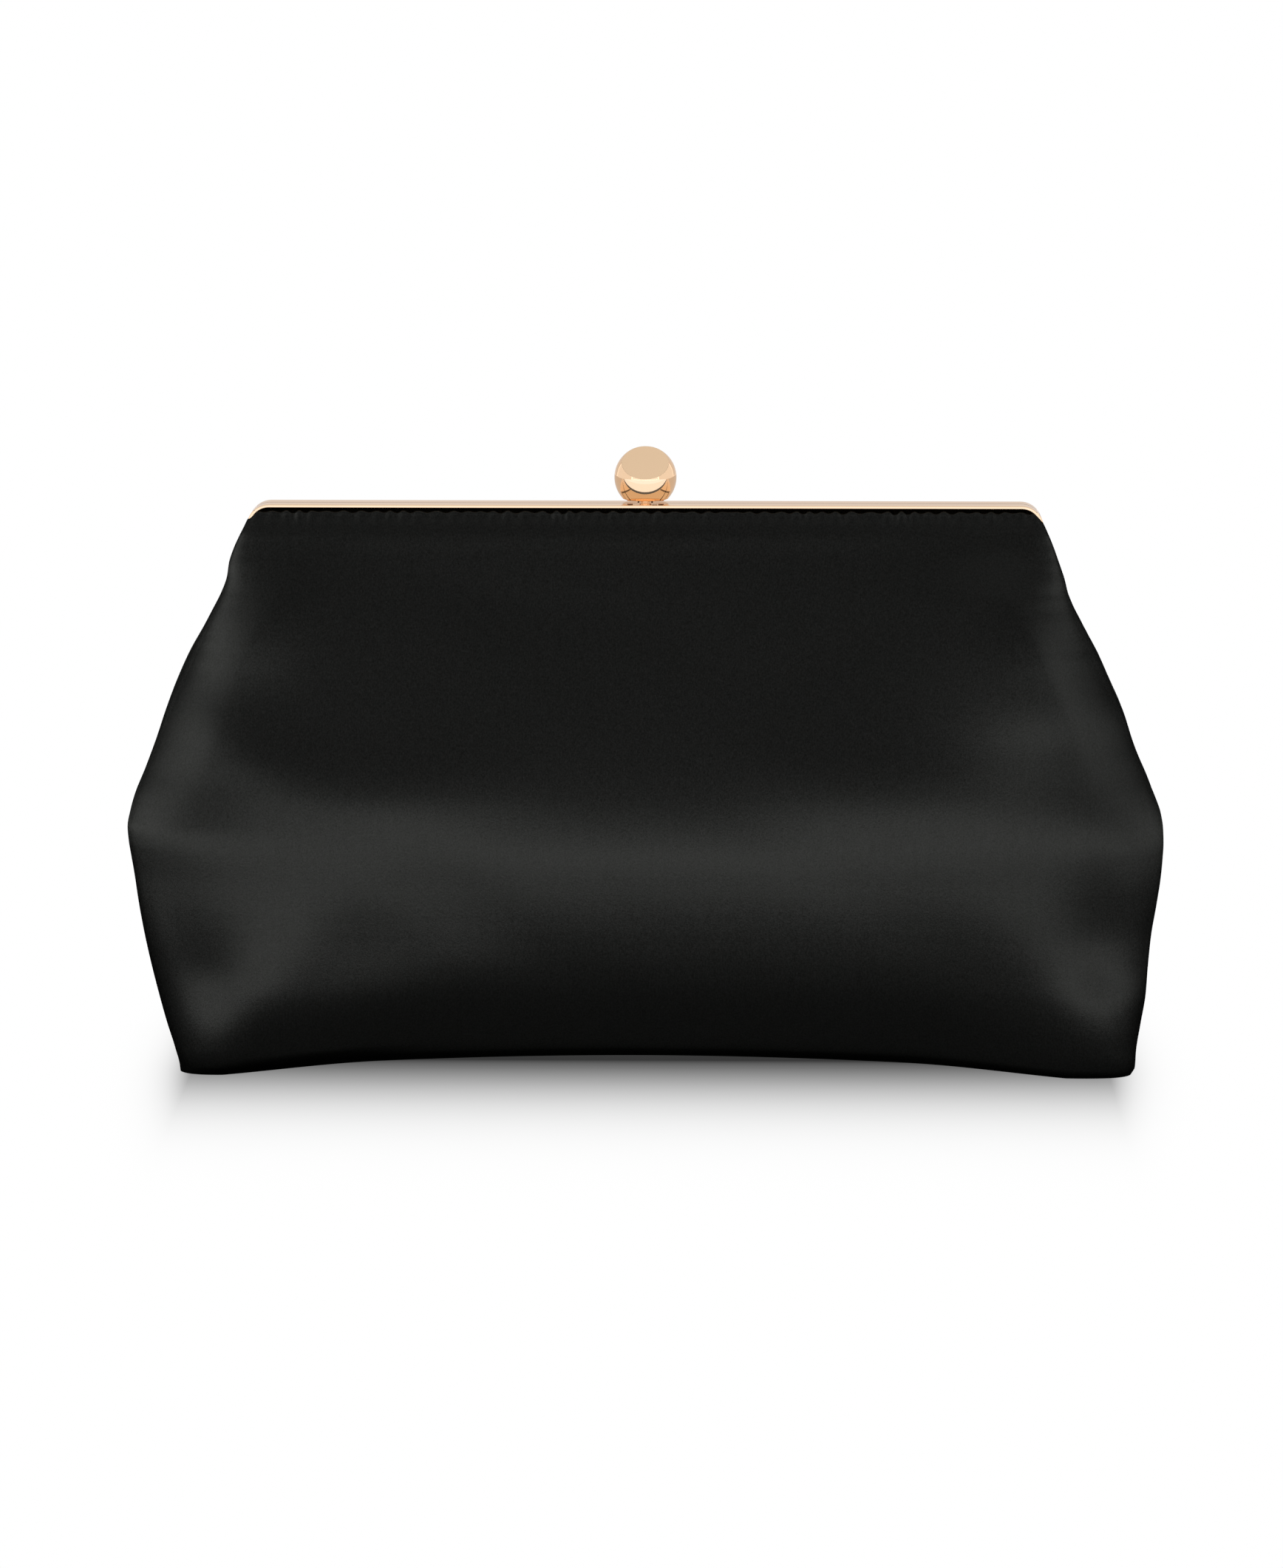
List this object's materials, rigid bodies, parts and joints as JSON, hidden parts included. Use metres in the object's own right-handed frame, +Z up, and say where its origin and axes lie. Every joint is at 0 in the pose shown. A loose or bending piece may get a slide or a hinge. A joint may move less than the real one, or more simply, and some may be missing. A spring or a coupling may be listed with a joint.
{
  "type": "framed clutch purse",
  "caption": "Evening clutch: a black satin pouch sewn into a two-part hinged metal frame that closes with a round faceted knob.",
  "frame": {"origin": "on the surface the purse stands on, under the middle of the mouth, in the plane where the two frame halves meet", "axes": "+X along the mouth, -Y out of the front panel, +Z up through the clasp"},
  "size_m": [0.2628, 0.058, 0.1557],
  "materials": {
    "gold_metal": "polished pale rose-gold plating",
    "spring_steel": "plain bright steel",
    "black_satin": "black satin with a soft sheen along the warp",
    "black_lining": "black plain-weave lining",
    "stiffener_felt": "off-white non-woven stiffener",
    "base_board": "grey board",
    "black_thread": "black polyester sewing thread"
  },
  "bodies": {
    "pouch": {"front_panel": "black_satin", "back_panel": "black_satin", "base_panel": "black_satin", "left_gusset": "black_satin", "right_gusset": "black_satin", "front_panel_bend": "black_satin", "back_panel_bend": "black_satin", "front_stiffener": "stiffener_felt", "back_stiffener": "stiffener_felt", "base_card": "base_board", "front_lining": "black_lining", "back_lining": "black_lining", "base_lining": "black_lining", "left_gusset_lining": "black_lining", "right_gusset_lining": "black_lining", "slip_pocket": "black_lining"},
    "front_half": {"front_frame": "gold_metal", "front_panel_top": "black_satin", "front_lining_top": "black_lining", "front_thread": "black_thread", "clasp_catch": "spring_steel", "catch_rivets": "spring_steel"},
    "rear_half": {"rear_frame": "gold_metal", "back_panel_top": "black_satin", "back_lining_top": "black_lining", "rear_thread": "black_thread", "hinge_rivet_left": "gold_metal", "hinge_rivet_right": "gold_metal", "clasp_pivot_pin": "spring_steel", "clasp_spring": "spring_steel"},
    "clasp": {"clasp_ball": "gold_metal", "clasp_lever": "gold_metal"}
  },
  "joints": [
    {"name": "front_hinge", "type": "hinge", "parent": "pouch", "child": "front_half", "pos_m": [0, 0, 0.104], "axis": [1, 0, 0], "range_deg": [0, 35], "deforming": ["front_panel_bend"]},
    {"name": "rear_hinge", "type": "hinge", "parent": "pouch", "child": "rear_half", "pos_m": [0, 0, 0.104], "axis": [-1, 0, 0], "range_deg": [0, 35], "deforming": ["back_panel_bend"]},
    {"name": "clasp_tilt", "type": "hinge", "parent": "rear_half", "child": "clasp", "pos_m": [0, 0.0058, 0.1412], "axis": [-1, 0, 0], "range_deg": [0, 10], "stiffness_Nm_per_rad": 0.05}
  ],
  "couplings": [
    {"joint": "rear_hinge", "follows": "front_hinge", "ratio": 1}
  ]
}
